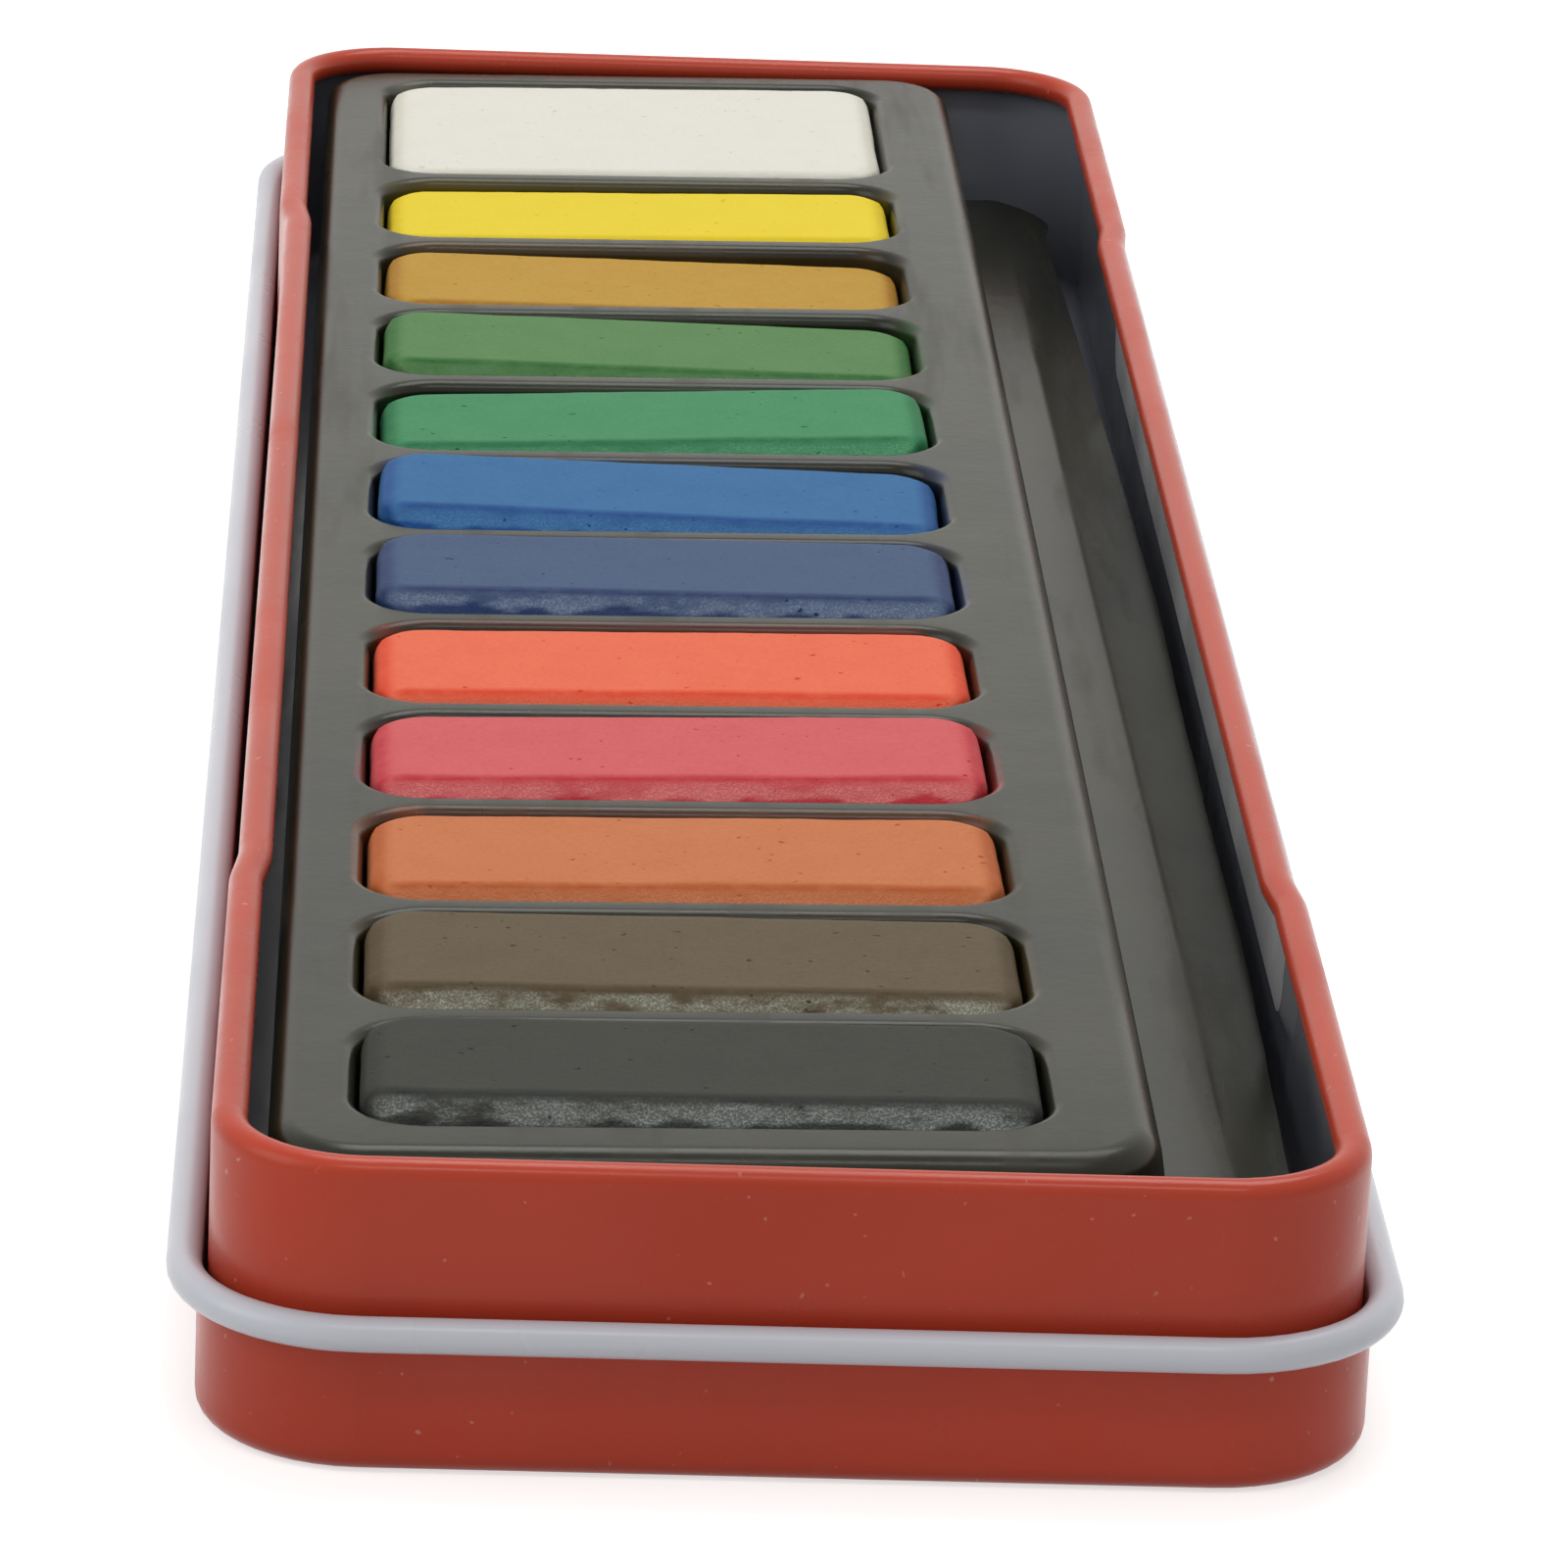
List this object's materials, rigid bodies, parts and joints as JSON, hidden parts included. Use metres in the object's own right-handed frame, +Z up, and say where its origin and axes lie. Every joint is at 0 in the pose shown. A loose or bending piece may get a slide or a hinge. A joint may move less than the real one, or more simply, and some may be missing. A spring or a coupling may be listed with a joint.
{
  "type": "watercolour paint tin",
  "caption": "Long flat tinplate paint box, open, its pan nested in the upturned lid, with a black formed tray holding a row of pressed watercolour cakes beside a brush trough.",
  "frame": {"origin": "centre of the face that the upturned lid stands on", "axes": "+Z up out of the open tin, +Y along the tin towards the large white cake, +X across it towards the brush trough"},
  "size_m": [0.0644, 0.2324, 0.0169],
  "materials": {
    "red_lacquer": "satin red lacquer on tinplate, dark lacquer inside the pan and pale lacquer inside the lid",
    "black_plastic": "semi-matte black vacuum-formed sheet",
    "cake_black": "pressed black watercolour, matt",
    "cake_brown": "pressed brown watercolour, matt",
    "cake_sienna": "pressed sienna watercolour, matt",
    "cake_crimson": "pressed crimson watercolour, matt",
    "cake_vermilion": "pressed vermilion watercolour, matt",
    "cake_navy": "pressed navy watercolour, matt",
    "cake_blue": "pressed blue watercolour, matt",
    "cake_green": "pressed green watercolour, matt",
    "cake_light_green": "pressed light green watercolour, matt",
    "cake_ochre": "pressed ochre watercolour, matt",
    "cake_yellow": "pressed yellow watercolour, matt",
    "cake_white": "pressed white watercolour, matt"
  },
  "bodies": {
    "lid": {"lid": "red_lacquer"},
    "pan": {"base_tin": "red_lacquer"},
    "tray": {"colour_tray": "black_plastic", "paint_cake_black": "cake_black", "paint_cake_brown": "cake_brown", "paint_cake_sienna": "cake_sienna", "paint_cake_crimson": "cake_crimson", "paint_cake_vermilion": "cake_vermilion", "paint_cake_navy": "cake_navy", "paint_cake_blue": "cake_blue", "paint_cake_green": "cake_green", "paint_cake_light_green": "cake_light_green", "paint_cake_ochre": "cake_ochre", "paint_cake_yellow": "cake_yellow", "paint_cake_white": "cake_white"}
  },
  "joints": [
    {"name": "pan_lift", "type": "slide", "parent": "lid", "child": "pan", "axis": [0, 0, 1], "range_m": [0, 0.03]},
    {"name": "tray_lift", "type": "slide", "parent": "pan", "child": "tray", "axis": [0, 0, 1], "range_m": [0, 0.03]}
  ]
}
